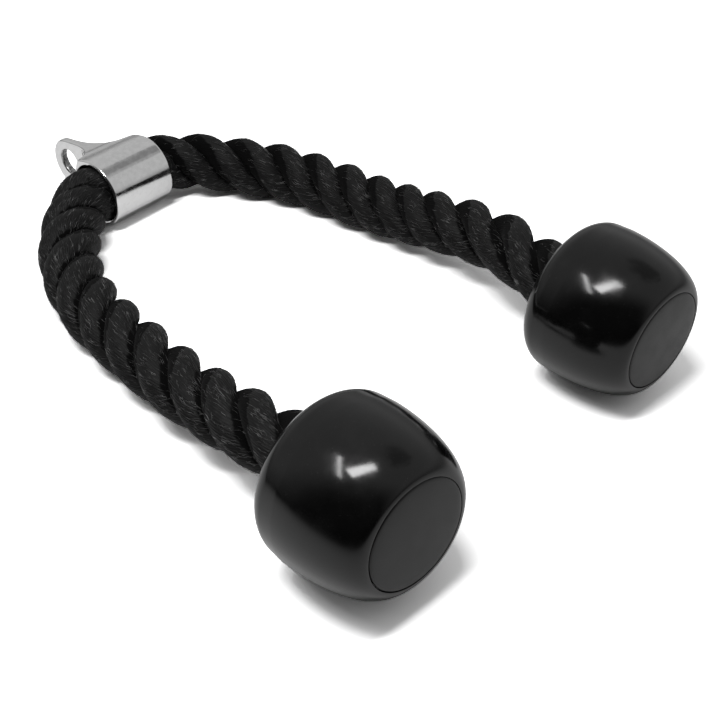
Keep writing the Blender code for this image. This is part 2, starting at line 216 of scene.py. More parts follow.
# In the eye's hole: painted shade darkens the plating, and wear makes it rougher
HOLE_SHADE_TONES = (0.16, 0.50)
HOLE_ROUGHNESS = 0.34
HOLE_SHADE_AND_WEAR_REACH = (0.0003, 0.0012)
STEEL_TONES = (0.50, 0.62)
STEEL_ROUGHNESS = (0.28, 0.45)
STEEL_BUMP = 0.00003
KNOB_TONES = (0.0035, 0.0060)
KNOB_DUST = 0.035
KNOB_ROUGHNESS = (0.11, 0.20)
KNOB_BUMP = 0.00020
CAP_TONES = (0.005, 0.008)
CAP_ROUGHNESS = (0.30, 0.38)
CAP_BUMP = 0.00003

# Studio: the bright side of the room is behind the object, the dark side is the camera's
FLOOR_HALF = 4.0
FLOOR_COLOUR = 0.42
FLOOR_COLOUR_SEEN = 3.2
FLOOR_COLOUR_MIRRORED = 1.25
FLOOR_FAR = (0.45, 1.2)
FLOOR_COLOUR_FAR = 14.0
# Painted shade: in mirrorings the floor darkens away from the room's bright side
FLOOR_SHADE_FADE = (-0.54, -0.20)
FLOOR_SHADED_SHARE = 0.10
BRIGHT_SIDE_AZIMUTH_DEG = 25.0
ROOM_DARK = 0.02
ROOM_BRIGHT = 0.52
ROOM_EDGE = (-0.65, -0.15)
# The room as light, as a share of the room as it shows in mirrorings
ROOM_LIGHT_SHARE = 0.56
# The room dims towards the horizon
HORIZON_EDGE = (0.0, 0.30)
HORIZON_SHARE = 0.55
# A dimmer patch high in the room, with ragged edges
PATCH_AZIMUTH_DEG = -14.0
PATCH_ELEVATION_DEG = 58.0
PATCH_SHARE = 0.45
PATCH_RAGGED = 0.06
PATCH_NOISE_SCALE = 9.0
PATCH_EDGE_DEG = (17.0, 8.0)
# Soft boxes: place, the point that they face, size, watts
SOFT_BOXES = {
    "top_box": ((-0.21, -0.07, 0.78), (-0.02, -0.175, 0.0), (0.10, 0.36), 2.6),
    "rear_box": ((-0.375, 0.155, 0.80), (-0.09, 0.29, 0.0), (0.045, 0.31), 0.9),
}


def link(thing):
    bpy.context.scene.collection.objects.link(thing)
    return thing


# Camera

def aim_camera():
    yaw = math.radians(CAMERA_AZIMUTH_DEG)
    pitch = math.radians(CAMERA_PITCH_DEG)
    roll = math.radians(CAMERA_ROLL_DEG)
    ahead = Vector((math.cos(yaw) * math.cos(pitch), math.sin(yaw) * math.cos(pitch), -math.sin(pitch)))
    level_right = Vector((math.sin(yaw), -math.cos(yaw), 0))
    level_up = level_right.cross(ahead)
    right = level_right * math.cos(roll) + level_up * math.sin(roll)
    up = level_up * math.cos(roll) - level_right * math.sin(roll)
    turn = Matrix((right, up, -ahead)).transposed().to_4x4()
    data = bpy.data.cameras.new("camera")
    data.sensor_width = CAMERA_SENSOR_MM
    data.lens = CAMERA_LENS_MM
    camera = link(bpy.data.objects.new("camera", data))
    camera.matrix_world = Matrix.Translation(CAMERA_PLACE) @ turn
    bpy.context.scene.camera = camera


aim_camera()


# Materials

class Nodes:
    """A node tree under construction: short names for nodes and wires."""

    def __init__(self, tree):
        self.tree = tree

    def node(self, kind, inputs=None, **settings):
        made = self.tree.nodes.new(kind)
        for key, value in settings.items():
            setattr(made, key, value)
        for key, value in (inputs or {}).items():
            self.put(made, key, value)
        return made

    def put(self, target, key, value):
        if isinstance(value, bpy.types.NodeSocket):
            self.tree.links.new(value, target.inputs[key])
        else:
            target.inputs[key].default_value = value

    def math(self, operation, a, b=0.0):
        return self.node("ShaderNodeMath", {0: a, 1: b}, operation=operation).outputs[0]

    def vector(self, operation, a, b=(0, 0, 0), output="Value"):
        return self.node("ShaderNodeVectorMath", {0: a, 1: b}, operation=operation).outputs[output]

    def mix(self, share, a, b):
        return self.node("ShaderNodeMix", {0: share, 2: a, 3: b}).outputs[0]

    def spread(self, value, low, high, to_low, to_high, kind="SMOOTHSTEP"):
        inputs = {"Value": value, "From Min": low, "From Max": high, "To Min": to_low, "To Max": to_high}
        return self.node("ShaderNodeMapRange", inputs, interpolation_type=kind).outputs["Result"]

    def noise(self, vector, scale, detail=2.0, roughness=0.5):
        inputs = {"Vector": vector, "Scale": scale, "Detail": detail, "Roughness": roughness}
        return self.node("ShaderNodeTexNoise", inputs).outputs["Fac"]

    def stretched_noise(self, across, along, scales):
        """Noise in a plane whose two directions have their own scales."""
        place = self.node("ShaderNodeCombineXYZ", {0: self.math("MULTIPLY", across, scales[0]),
                                                   1: self.math("MULTIPLY", along, scales[1])})
        return self.noise(place.outputs[0], 1.0, 2.0, 0.6)

    def grey(self, value):
        return self.node("ShaderNodeCombineColor", {0: value, 1: value, 2: value}).outputs[0]

    def bump(self, height, distance, strength=1.0):
        inputs = {"Height": height, "Distance": distance, "Strength": strength}
        return self.node("ShaderNodeBump", inputs).outputs["Normal"]

    def place(self):
        return self.node("ShaderNodeTexCoord").outputs["Object"]

    def mirrored_ray(self, path):
        """1 on a ray that comes from a mirror or a clear body, otherwise 0."""
        return self.math("MAXIMUM", path["Is Glossy Ray"], path["Is Transmission Ray"])


class Look(Nodes):
    """A material under construction."""

    def __init__(self, name):
        self.material = bpy.data.materials.new(name)
        self.material.use_nodes = True
        super().__init__(self.material.node_tree)
        self.shader = self.tree.nodes["Principled BSDF"]

    def set(self, **values):
        for key, value in values.items():
            self.put(self.shader, key.replace("_", " "), value)


def rope_material():
    """Black yarns with streaks along each; a painted highlight on streaks on one side, and painted shade
    blackening the grooves between strands.
    """
    look = Look("rope_nylon")
    uv = look.node("ShaderNodeUVMap", uv_map="yarn").outputs["UV"]
    parts = look.node("ShaderNodeSeparateXYZ", {0: uv})
    yarn, run = parts.outputs[0], parts.outputs[1]
    facing = look.node("ShaderNodeAttribute", attribute_name="facing").outputs["Vector"]
    parts = look.node("ShaderNodeSeparateXYZ", {0: facing})
    outward, sideways = parts.outputs[0], parts.outputs[1]
    streaks = look.stretched_noise(yarn, run, YARN_STREAKS)
    fibres = look.stretched_noise(yarn, run, YARN_FIBRES)
    clusters = look.stretched_noise(yarn, run, YARN_CLUSTERS)
    uneven = look.math("MULTIPLY", look.math("SUBTRACT", clusters, 0.5), 0.5)
    # Painted shade: the colour goes nearly black in the grooves between strands, leaning to one side
    leaning = look.math("SUBTRACT", look.math("MULTIPLY", outward, math.cos(GROOVE_SHADE_LEAN)),
                        look.math("MULTIPLY", sideways, math.sin(GROOVE_SHADE_LEAN)))
    unshaded_share = look.spread(look.math("ADD", leaning, uneven), *GROOVE_SHADE_EDGE, GROOVE_SHADE_SHARE, 1.0)
    # Painted highlight: glints on the streaks, strongest on one side of each strand
    lit_side_share = look.spread(sideways, 0.25, -0.60, YARN_WEAK_GLINT_SHARE, 1.0)
    glint_streaks = look.math("MULTIPLY", look.spread(streaks, 0.54, 0.74, 0.0, 1.0),
                       look.spread(clusters, 0.46, 0.64, YARN_WEAK_GLINT_SHARE, 1.0))
    glint = look.math("MULTIPLY", look.math("MULTIPLY", glint_streaks, lit_side_share), YARN_GLINT)
    lines = look.math("MULTIPLY", look.spread(fibres, 0.3, 0.7, 0.6, 1.0),
                      look.spread(streaks, 0.3, 0.7, *YARN_TONES))
    shade = look.math("ADD", lines, glint)
    look.set(Base_Color=look.grey(look.math("MULTIPLY", shade, unshaded_share)))
    look.set(Roughness=look.spread(unshaded_share, 0.1, 0.9, 1.0, 0.55), Sheen_Weight=0.05, Sheen_Roughness=0.3)
    look.set(Specular_IOR_Level=0.2, Normal=look.bump(streaks, YARN_BUMP))
    return look.material


def fibre_material():
    """Loose fibres, coloured paler than the yarns: a painted highlight for the light that they catch."""
    look = Look("rope_fibre")
    tone = look.noise(look.place(), 260.0)
    look.set(Base_Color=look.grey(look.spread(tone, 0.40, 0.75, *FIBRE_LIT_TONES)), Roughness=FIBRE_ROUGHNESS)
    return look.material


def chrome_material():
    """Polished plating: soft waves, faint haze and fine pits; in the eye's hole, painted shade and rough
    worn plating.
    """
    look = Look("ferrule_chrome")
    place = look.place()
    hole_y = FERRULE_Y + EYE_RUN * math.cos(EYE_DROOP) + EYE_HOLE_RISE * math.sin(EYE_DROOP)
    hole_z = SLEEVE_RADIUS - EYE_RUN * math.sin(EYE_DROOP) + EYE_HOLE_RISE * math.cos(EYE_DROOP)
    flat = look.vector("MULTIPLY", place, (0, 1, 1), "Vector")
    from_axis = look.vector("DISTANCE", flat, (0, hole_y, hole_z))
    # Painted shade in the eye's hole, where the plating is also rough from wear
    hole_shade_edge = [EYE_HOLE_RADIUS + wear for wear in HOLE_SHADE_AND_WEAR_REACH]
    hole_shade_and_wear = look.spread(from_axis, *hole_shade_edge, 1.0, 0.0)
    waves = look.noise(place, 140.0, 1.0)
    haze = look.noise(place, 420.0, 3.0)
    pits = look.noise(place, 2400.0, 2.0)
    pit_depth = look.spread(pits, 0.70, 0.78, 0.0, 1.0)
    height = look.math("SUBTRACT", waves, look.math("MULTIPLY", pit_depth, PIT_SHARE))
    plain = look.spread(haze, 0.3, 0.7, *PLATING_TONES)
    hole_shade_tone = look.spread(look.noise(place, 700.0, 3.0), 0.35, 0.65, *HOLE_SHADE_TONES)
    tone = look.mix(hole_shade_and_wear, plain, hole_shade_tone)
    smooth = look.spread(haze, 0.35, 0.7, *PLATING_ROUGHNESS)
    roughness = look.mix(hole_shade_and_wear, smooth, HOLE_ROUGHNESS)
    look.set(Metallic=1.0, Base_Color=look.grey(tone))
    look.set(Roughness=roughness, Normal=look.bump(height, PLATING_BUMP))
    return look.material


def steel_material():
    """Plain zinc-plated steel, faintly mottled."""
    look = Look("inner_steel")
    place = look.place()
    marks = look.noise(place, 900.0, 3.0)
    look.set(Metallic=1.0, Base_Color=look.grey(look.spread(marks, 0.3, 0.7, *STEEL_TONES)))
    look.set(Roughness=look.spread(marks, 0.3, 0.7, *STEEL_ROUGHNESS), Normal=look.bump(marks, STEEL_BUMP))
    return look.material


def knob_material():
    """Glossy black moulding: slight waves, faint smears, a little dust."""
    look = Look("knob_rubber")
    place = look.place()
    waves = look.noise(place, 45.0, 1.0)
    smear = look.noise(place, 90.0, 4.0, 0.6)
    dust = look.noise(place, 1900.0, 1.0)
    tone = look.math("ADD", look.spread(smear, 0.4, 0.8, *KNOB_TONES),
                     look.spread(dust, 0.74, 0.80, 0.0, KNOB_DUST))
    look.set(Base_Color=look.grey(tone), Roughness=look.spread(smear, 0.3, 0.75, *KNOB_ROUGHNESS))
    look.set(Specular_IOR_Level=0.38, Normal=look.bump(waves, KNOB_BUMP))
    return look.material


def cap_material():
    """Satin black moulding with a fine grain."""
    look = Look("cap_plastic")
    place = look.place()
    grain = look.noise(place, 2600.0, 2.0)
    smear = look.noise(place, 120.0, 3.0)
    look.set(Base_Color=look.grey(look.spread(smear, 0.3, 0.7, *CAP_TONES)), Specular_IOR_Level=0.28)
    look.set(Roughness=look.spread(smear, 0.3, 0.7, *CAP_ROUGHNESS), Normal=look.bump(grain, CAP_BUMP))
    return look.material


# Curves and grids

def smooth_curve(points, samples):
    """Points on a centripetal Catmull-Rom curve through the given ones."""
    padded = [points[0] * 2 - points[1]] + points + [points[-1] * 2 - points[-2]]
    curve = []
    for i in range(len(points) - 1):
        p0, p1, p2, p3 = padded[i:i + 4]
        t1 = (p1 - p0).length ** 0.5
        t2 = t1 + (p2 - p1).length ** 0.5
        t3 = t2 + (p3 - p2).length ** 0.5
        for step in range(samples):
            t = t1 + (t2 - t1) * step / samples
            a1 = p0.lerp(p1, t / t1)
            a2 = p1.lerp(p2, (t - t1) / (t2 - t1))
            a3 = p2.lerp(p3, (t - t2) / (t3 - t2))
            b1 = a1.lerp(a2, t / t2)
            b2 = a2.lerp(a3, (t - t1) / (t3 - t1))
            curve.append(b1.lerp(b2, (t - t1) / (t2 - t1)))
    curve.append(points[-1])
    return curve


def evenly(points, step):
    """The same line with points at even distances, and each point's distance from the start."""
    line = np.array([list(p) for p in points])
    along = np.concatenate([[0], np.cumsum(np.linalg.norm(np.diff(line, axis=0), axis=1))])
    distances = np.linspace(0, along[-1], int(round(along[-1] / step)) + 1)
    return np.stack([np.interp(distances, along, line[:, k]) for k in range(3)], axis=1), distances


def unit(vectors):
    return vectors / np.linalg.norm(vectors, axis=-1, keepdims=True)


def carried_frames(line, first_normal):
    """Tangents and two normals along a line, carried on without twist."""
    tangents = unit(np.gradient(line, axis=0))
    normals = np.zeros_like(line)
    normal = np.array(first_normal, float)
    for i, tangent in enumerate(tangents):
        normal = normal - tangent * normal.dot(tangent)
        normal = normal / np.linalg.norm(normal)
        normals[i] = normal
    return tangents, normals, np.cross(tangents, normals)


def eased(marks, distances):
    """A smooth line through (distance, value) marks, carried on straight past both ends."""
    x = np.array([mark[0] for mark in marks])
    y = np.array([mark[1] for mark in marks])
    slope = np.gradient(y, x)
    i = np.clip(np.searchsorted(x, distances) - 1, 0, len(x) - 2)
    width = x[i + 1] - x[i]
    t = np.clip((distances - x[i]) / width, 0, 1)
    value = ((2 * t**3 - 3 * t**2 + 1) * y[i] + (t**3 - 2 * t**2 + t) * width * slope[i]
             + (3 * t**2 - 2 * t**3) * y[i + 1] + (t**3 - t**2) * width * slope[i + 1])
    before = np.minimum(distances - x[0], 0) * slope[0]
    after = np.maximum(distances - x[-1], 0) * slope[-1]
    return value + before + after


def wander(noise, distances, step, amount):
    """A smooth random line along the rope."""
    knots = np.arange(distances[0] - step, distances[-1] + 2 * step, step)
    return eased(list(zip(knots, noise.normal(0, amount, len(knots)))), distances)


# Rope

def joint(name):
    return next(j for j in frame["joints"] if j["name"] == name)


def leg_line(side, mouth_sign, route):
    """The leg's centre line from inside the ferrule's mouth to the rope's tip in the stopper."""
    swivel = joint(side + "_stopper_swivel")
    back = Vector(swivel["pos_m"])
    out = Vector(swivel["axis"]).normalized()
    mouth = Vector((FERRULE_X + mouth_sign * SLEEVE_LENGTH / 2, FERRULE_Y, SLEEVE_RADIUS))
    outward = Vector((mouth_sign, 0, 0))
    points = [mouth + outward * JOIN_GAP, mouth + outward * MOUTH_RUN]
    points += [Vector(point) for point in route]
    points += [back - out * KNOB_RUN, back - out * JOIN_GAP]
    curve = smooth_curve(points, CURVE_SAMPLES)
    return [mouth - outward * MOUTH_OVERLAP] + curve + [back + out * ROPE_TIP]


class Strand:
    """One strand's course round the rope: its centre, its own axes, and the yarns' turn on it."""

    def __init__(self, line, distances, turns, index, noise):
        tangents, normals, binormals = carried_frames(line, (0, 0, 1))
        angle = 2 * math.pi * (turns + index / STRANDS)
        outward = normals * np.cos(angle)[:, None] + binormals * np.sin(angle)[:, None]
        self.swell = wander(noise, distances, SWELL_STEP, STRAND_SWELL)
        self.centre = line + outward * (STRAND_PLACE_RADIUS - np.abs(self.swell) / 2)[:, None]
        self.way = unit(np.gradient(self.centre, axis=0))
        self.outward = unit(outward - self.way * np.sum(outward * self.way, axis=1)[:, None])
        self.across = np.cross(self.way, self.outward)
        steps = np.linalg.norm(np.diff(self.centre, axis=0), axis=1)
        self.run = np.concatenate([[0], np.cumsum(steps)])
        # The yarns are twisted back, so that on the rope's outside they run nearly along it
        turn_rate = 2 * math.pi * np.gradient(turns, self.run)
        lean = YARN_LEAN_SHARE * turn_rate * (STRAND_PLACE_RADIUS + STRAND_RADIUS) / STRAND_RADIUS
        self.yarn_turn = np.concatenate([[0], np.cumsum((lean[1:] + lean[:-1]) / 2 * np.diff(self.run))])

    def surface(self, row, turn, radius):
        """Points on the strand at rows and turns, at a radius from its own centre."""
        out = np.cos(turn)[..., None] * self.outward[row] + np.sin(turn)[..., None] * self.across[row]
        return self.centre[row] + radius[..., None] * out, out


def strand_grid(strand, noise):
    """Rows of points round the strand; the columns follow the yarns, each a low rib."""
    around = YARNS * YARN_POINTS
    rows = len(strand.run)
    column = np.arange(around)
    rib = np.sin(math.pi * (column % YARN_POINTS) / YARN_POINTS)
    knots = noise.normal(0, YARN_UNEVEN_SHARE, (rows // YARN_UNEVEN_RINGS + 2, YARNS))
    places = np.linspace(0, rows - 1, len(knots))
    uneven = np.stack([np.interp(np.arange(rows), places, knots[:, y]) for y in range(YARNS)], axis=1)
    uneven = np.repeat(uneven, YARN_POINTS, axis=1)
    radius = STRAND_RADIUS - YARN_RIB + strand.swell[:, None] + YARN_RIB * rib[None, :] * (1 + uneven)
    turn = 2 * math.pi * column[None, :] / around - strand.yarn_turn[:, None]
    row = np.repeat(np.arange(rows)[:, None], around, axis=1)
    facing = np.stack([np.cos(turn), np.sin(turn), np.zeros_like(turn)], axis=-1)
    return strand.surface(row, turn, radius)[0], facing


def fibre_threads(strand, count, noise):
    """Short loose threads that leave a yarn, lift off the strand and lie down again."""
    rows = len(strand.run)
    step = strand.run[-1] / (rows - 1)
    threads = []
    for _ in range(count):
        length = noise.uniform(*FIBRE_LENGTHS)
        span = length / step
        start = noise.uniform(2, max(3, rows - 3 - span))
        turn = noise.normal(FIBRE_SIDE, FIBRE_SPREAD) + strand.yarn_turn[int(start)]
        skew = noise.normal(0, FIBRE_SKEW)
        lift = noise.gamma(FIBRE_LIFT_SHAPE, FIBRE_LIFT / 2)
        points = []
        for k in range(FIBRE_POINTS):
            share = k / (FIBRE_POINTS - 1)
            at = start + span * share
            row = int(at)
            here = turn - strand.yarn_turn[row] + skew * share * length / STRAND_RADIUS
            height = STRAND_RADIUS + strand.swell[row] + lift * math.sin(math.pi * share)
            point, out = strand.surface(np.array(row), np.array(here), np.array(height))
            points.append(point + strand.way[row] * (at - row) * step)
        threads.append(np.array(points))
    return threads


class Builder:
    """Collects points, faces, yarn coordinates and material numbers for one mesh."""

    def __init__(self):
        self.blocks = []
        self.facings = []
        self.faces = []
        self.uvs = []
        self.looks = []
        self.count = 0

    def add_points(self, points, facing):
        base = self.count
        self.blocks.append(points.reshape(-1, 3))
        self.facings.append(np.broadcast_to(facing, points.shape).reshape(-1, 3))
        self.count += len(self.blocks[-1])
        return base

    def add_face(self, corners, uv, look):
        self.faces.append(corners)
        self.uvs += uv
        self.looks.append(look)

    def tube(self, grid, facing, run, per_unit, look):
        """Quads between rows of a grid, and closing faces at both ends."""
        rows, around = grid.shape[:2]
        base = self.add_points(grid, facing)
        for i in range(rows - 1):
            for j in range(around):
                k = (j + 1) % around
                corners = (base + i * around + j, base + i * around + k,
                           base + (i + 1) * around + k, base + (i + 1) * around + j)
                u, v = j / per_unit, (j + 1) / per_unit
                self.add_face(corners, [(u, run[i]), (v, run[i]), (v, run[i + 1]), (u, run[i + 1])], look)
        first = tuple(base + j for j in reversed(range(around)))
        last = tuple(base + (rows - 1) * around + j for j in range(around))
        self.add_face(first, [(0.0, run[0])] * around, look)
        self.add_face(last, [(0.0, run[-1])] * around, look)

    def finish(self, name, looks):
        mesh = bpy.data.meshes.new(name)
        mesh.from_pydata(np.concatenate(self.blocks), [], self.faces)
        layer = mesh.uv_layers.new(name="yarn")
        layer.data.foreach_set("uv", np.array(self.uvs, np.float32).ravel())
        facing = mesh.attributes.new("facing", "FLOAT_VECTOR", "POINT")
        facing.data.foreach_set("vector", np.concatenate(self.facings).astype(np.float32).ravel())
        mesh.polygons.foreach_set("material_index", self.looks)
        mesh.shade_smooth()
        for look in looks:
            mesh.materials.append(look)
        mesh.validate()
        return link(bpy.data.objects.new(name, mesh))


def thread_grid(points):
    """A thin three-sided tube along a few points."""
    way = unit(np.gradient(points, axis=0))
    side = unit(np.cross(way, way[:, [1, 2, 0]]))
    other = np.cross(way, side)
    taper = FIBRE_RADIUS * (1 - FIBRE_TAPER_SHARE * np.abs(np.linspace(-1, 1, len(points))) ** 3)
    turn = 2 * math.pi * np.arange(FIBRE_SIDES) / FIBRE_SIDES
    ring = np.cos(turn)[None, :, None] * side[:, None, :] + np.sin(turn)[None, :, None] * other[:, None, :]
    return points[:, None, :] + taper[:, None, None] * ring


def laid_rope(name, line, distances, turns, seed, fibred=True):
    """Three laid strands as one mesh, with loose fibres on the outside."""
    noise = np.random.default_rng(seed)
    made = Builder()
    for index in range(STRANDS):
        strand = Strand(line, distances, turns, index, noise)
        grid, facing = strand_grid(strand, noise)
        made.tube(grid, facing, strand.run, YARN_POINTS, 0)
        count = int(FIBRES_PER_METRE * strand.run[-1]) if fibred else 0
        for points in fibre_threads(strand, count, noise):
            made.tube(thread_grid(points), (1.0, 0.0, 0.0), np.zeros(len(points)), 1, 1)
    return made.finish(name, [rope_look, fibre_look])


def build_leg(side, mouth_sign, route, marks, seed):
    line, distances = evenly(leg_line(side, mouth_sign, route), RING_STEP)
    turns = eased(marks, distances - MOUTH_OVERLAP)
    piece = laid_rope(side + "_rope", line, distances, turns, seed)
    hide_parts(side + "_mouth_rope", side + "_leg_rope", side + "_rope_end")
    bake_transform(piece)


rope_look = rope_material()
fibre_look = fibre_material()
build_leg("left", -1, LEFT_ROUTE, LEFT_TURNS, 7)
build_leg("right", 1, RIGHT_ROUTE, RIGHT_TURNS, 8)


def build_rope_middle():
    """The rope in the sleeve; its strands join up with both legs'."""
    half = SLEEVE_LENGTH / 2 - MOUTH_OVERLAP - MIDDLE_GAP
    points = [(FERRULE_X - half, FERRULE_Y, SLEEVE_RADIUS), (FERRULE_X + half, FERRULE_Y, SLEEVE_RADIUS)]
    line, distances = evenly(points, RING_STEP)
    left_turns = -eased(LEFT_TURNS, np.array([-MOUTH_OVERLAP]))[0]
    right_turns = eased(RIGHT_TURNS, np.array([-MOUTH_OVERLAP]))[0]
    turns = np.linspace(left_turns, right_turns, len(distances))
    piece = laid_rope("rope_middle", line, distances, turns, 9, fibred=False)
    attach(piece, "ferrule")
    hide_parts("rope_core")


build_rope_middle()


# Ferrule

def rounded_both(a, b, radius):
    """The space inside both forms, with its edges rounded."""
    a = a + radius
    b = b + radius
    return np.minimum(np.maximum(a, b), 0) + np.hypot(np.maximum(a, 0), np.maximum(b, 0)) - radius


def filleted_either(a, b, radius):
    """The space inside either form, with a fillet where they meet."""
    corner = np.hypot(np.maximum(radius - a, 0), np.maximum(radius - b, 0))
    return np.maximum(radius, np.minimum(a, b)) - corner


def taper_distance(along, off, root, nose, reach):
    """Distance to the lug's end view: a round nose, and straight sides that touch the root circle."""
    slant = (root - nose) / reach
    rise = math.sqrt(1 - slant * slant)
    side = np.abs(off)
    place = along * rise - side * slant
    flank = side * rise + along * slant - root
    result = np.where(place < 0, np.hypot(side, along) - root, flank)
    return np.where(place > rise * reach, np.hypot(side, along - reach) - nose, result)


def flare_distance(along, beside):
    """Distance to the lug's plan: a plate that thickens smoothly to more than the sleeve's length."""
    side = np.where(beside < LUG_SHIFT, -1.0, 1.0)
    width = SLEEVE_LENGTH / 2 + FLARE_OVERRUN - side * LUG_SHIFT - LUG_THICKNESS / 2
    share = np.clip((FLARE_ROOT + FLARE_LENGTH - along) / FLARE_LENGTH, 0, 1)
    slope = width * FLARE_POWER * share ** (FLARE_POWER - 1) / FLARE_LENGTH
    outside = np.abs(beside - LUG_SHIFT) - LUG_THICKNESS / 2 - width * share**FLARE_POWER
    return outside / np.sqrt(1 + slope**2)


def ferrule_distance(points):
    """Signed distance to the whole casting, about the sleeve's middle."""
    beside = points[:, 0]
    along = points[:, 1] * math.cos(EYE_DROOP) - points[:, 2] * math.sin(EYE_DROOP)
    off = points[:, 1] * math.sin(EYE_DROOP) + points[:, 2] * math.cos(EYE_DROOP)
    radial = np.hypot(along, off)
    # Two like surfaces that a fillet joins swell by this share of its radius, so both start lower
    core = SLEEVE_RADIUS - LUG_FILLET * (1 - math.sqrt(0.5))
    lug = rounded_both(taper_distance(along, off, core, EYE_NOSE_RADIUS, EYE_RUN),
                       flare_distance(along, beside), LUG_EDGE_ROUND)
    body = filleted_either(radial - core, lug, LUG_FILLET)
    body = rounded_both(body, np.abs(beside) - SLEEVE_LENGTH / 2, SLEEVE_EDGE_ROUND)
    body = rounded_both(body, SLEEVE_BORE_RADIUS - radial, SLEEVE_EDGE_ROUND)
    hole = EYE_HOLE_RADIUS - np.hypot(along - EYE_RUN, off - EYE_HOLE_RISE)
    return rounded_both(body, hole, EYE_HOLE_ROUND)


def slope_of(distance, points):
    """The gradient of a distance function, by small steps."""
    result = np.zeros_like(points)
    for k in range(3):
        step = np.zeros(3)
        step[k] = SLOPE_STEP
        result[:, k] = (distance(points + step) - distance(points - step)) / (2 * SLOPE_STEP)
    return result


def build_ferrule():
    """The casting's smooth form: an even mesh from the part's solid, drawn onto the distance function."""
    source = frame["nodes"]["eye_ferrule"]
    rough = link(bpy.data.objects.new("ferrule_rough", source.data.copy()))
    even = rough.modifiers.new("even", "REMESH")
    even.mode = "VOXEL"
    even.voxel_size = FERRULE_VOXEL
    depsgraph = bpy.context.evaluated_depsgraph_get()
    mesh = bpy.data.meshes.new_from_object(rough.evaluated_get(depsgraph))
    bpy.data.objects.remove(rough)
    middle = np.array((FERRULE_X, FERRULE_Y, SLEEVE_RADIUS))
    flat = np.zeros(len(mesh.vertices) * 3)
    mesh.vertices.foreach_get("co", flat)
    points = flat.reshape(-1, 3) - middle
    for _ in range(PROJECT_STEPS):
        slope = slope_of(ferrule_distance, points)
        size = np.maximum(np.sum(slope * slope, axis=1), 0.1)
        move = -ferrule_distance(points)[:, None] * slope / size[:, None]
        length = np.linalg.norm(move, axis=1, keepdims=True)
        points = points + move * np.minimum(1, PROJECT_REACH / np.maximum(length, 1e-9))
    mesh.vertices.foreach_set("co", (points + middle).ravel())
    mesh.update()
    mesh.shade_smooth()
    mesh.normals_split_custom_set_from_vertices(unit(slope_of(ferrule_distance, points)))
    mesh.name = "ferrule_body"
    mesh.materials.clear()
    mesh.materials.append(chrome_material())
    piece = link(bpy.data.objects.new("ferrule_body", mesh))
    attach(piece, "ferrule")
    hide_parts("eye_ferrule")


build_ferrule()


# Stoppers

def arc(centre, radii, start_deg, end_deg, steps=ARC_STEPS):
    """Points on an elliptical arc in a plane, both ends included."""
    points = []
    for step in range(steps + 1):
        angle = math.radians(start_deg + (end_deg - start_deg) * step / steps)
        points.append((centre[0] + radii[0] * math.cos(angle), centre[1] + radii[1] * math.sin(angle)))
    return points


def turned_mesh(name, outline, matrix, look):
    """A smooth turned form about local Z from (radius, height) points."""
    profile = np.array(outline)
    turn = 2 * math.pi * np.arange(KNOB_STEPS) / KNOB_STEPS
    rows = len(profile)
    grid = np.zeros((rows, KNOB_STEPS, 3))
    grid[..., 0] = profile[:, :1] * np.cos(turn)
    grid[..., 1] = profile[:, :1] * np.sin(turn)
    grid[..., 2] = profile[:, 1:]
    verts = [matrix @ Vector(p) for p in grid.reshape(-1, 3)]
    faces = []
    for i in range(rows - 1):
        for j in range(KNOB_STEPS):
            k = (j + 1) % KNOB_STEPS
            low, high = i * KNOB_STEPS, (i + 1) * KNOB_STEPS
            faces.append((low + j, low + k, high + k, high + j))
    if profile[-1, 0] > 0:
        faces.append(tuple((rows - 1) * KNOB_STEPS + j for j in range(KNOB_STEPS)))
    mesh = bpy.data.meshes.new(name)
    mesh.from_pydata(verts, [], faces)
    mesh.shade_smooth()
    mesh.set_sharp_from_angle(angle=math.radians(SHARP_ANGLE_DEG))
    mesh.materials.append(look)
    return link(bpy.data.objects.new(name, mesh))


def knob_outline():
    """The knob's outer skin: bore's mouth, rounded back, barrel side, wide shoulder and the cap's seat."""
    rim = KNOB_RADIUS + KNOB_BULGE
    edge = KNOB_BORE_EDGE_ROUND
    back = KNOB_BACK_ROUND
    lip = KNOB_LIP_ROUND
    points = [(KNOB_BORE_RADIUS, KNOB_BORE_DEPTH)]
    points += arc((KNOB_BORE_RADIUS + edge, edge), (edge, edge), 180, 270)
    points += arc((KNOB_RADIUS - back, back), (back, back), 270, 360, 2 * ARC_STEPS)
    shoulder = arc((CAP_RADIUS, KNOB_SHOULDER_START), (rim - CAP_RADIUS, KNOB_LENGTH - KNOB_SHOULDER_START),
                   0, 90, 4 * ARC_STEPS)
    points += [point for point in shoulder if point[0] > CAP_RADIUS + lip]
    points += arc((CAP_RADIUS + lip, KNOB_LENGTH - lip), (lip, lip), 90, 180, ARC_STEPS // 2)
    points += [(CAP_RADIUS, KNOB_LENGTH - CAP_THICKNESS), (CAP_RADIUS / 2, KNOB_LENGTH - CAP_THICKNESS)]
    return points


def cap_outline():
    """The cap's outer skin: its rim, a rounded edge and a low dome."""
    rim = CAP_RADIUS - CAP_SEAM
    edge = CAP_EDGE_ROUND
    points = [(rim, KNOB_LENGTH - CAP_THICKNESS)]
    points += arc((rim - edge, KNOB_LENGTH - edge), (edge, edge), 0, 80, ARC_STEPS // 2)
    points += arc((0, KNOB_LENGTH), (rim - edge, CAP_DOME), 6, 90, 2 * ARC_STEPS)
    return points[:-1] + [(CAP_SEAM / 10, KNOB_LENGTH + CAP_DOME)]


def stopper_matrix(side):
    """Local Z runs out of the rope; local X lies level."""
    swivel = joint(side + "_stopper_swivel")
    out = Vector(swivel["axis"]).normalized()
    level = Vector((-out.y, out.x, 0)).normalized()
    turn = Matrix((level, out.cross(level), out)).transposed().to_4x4()
    return Matrix.Translation(swivel["pos_m"]) @ turn


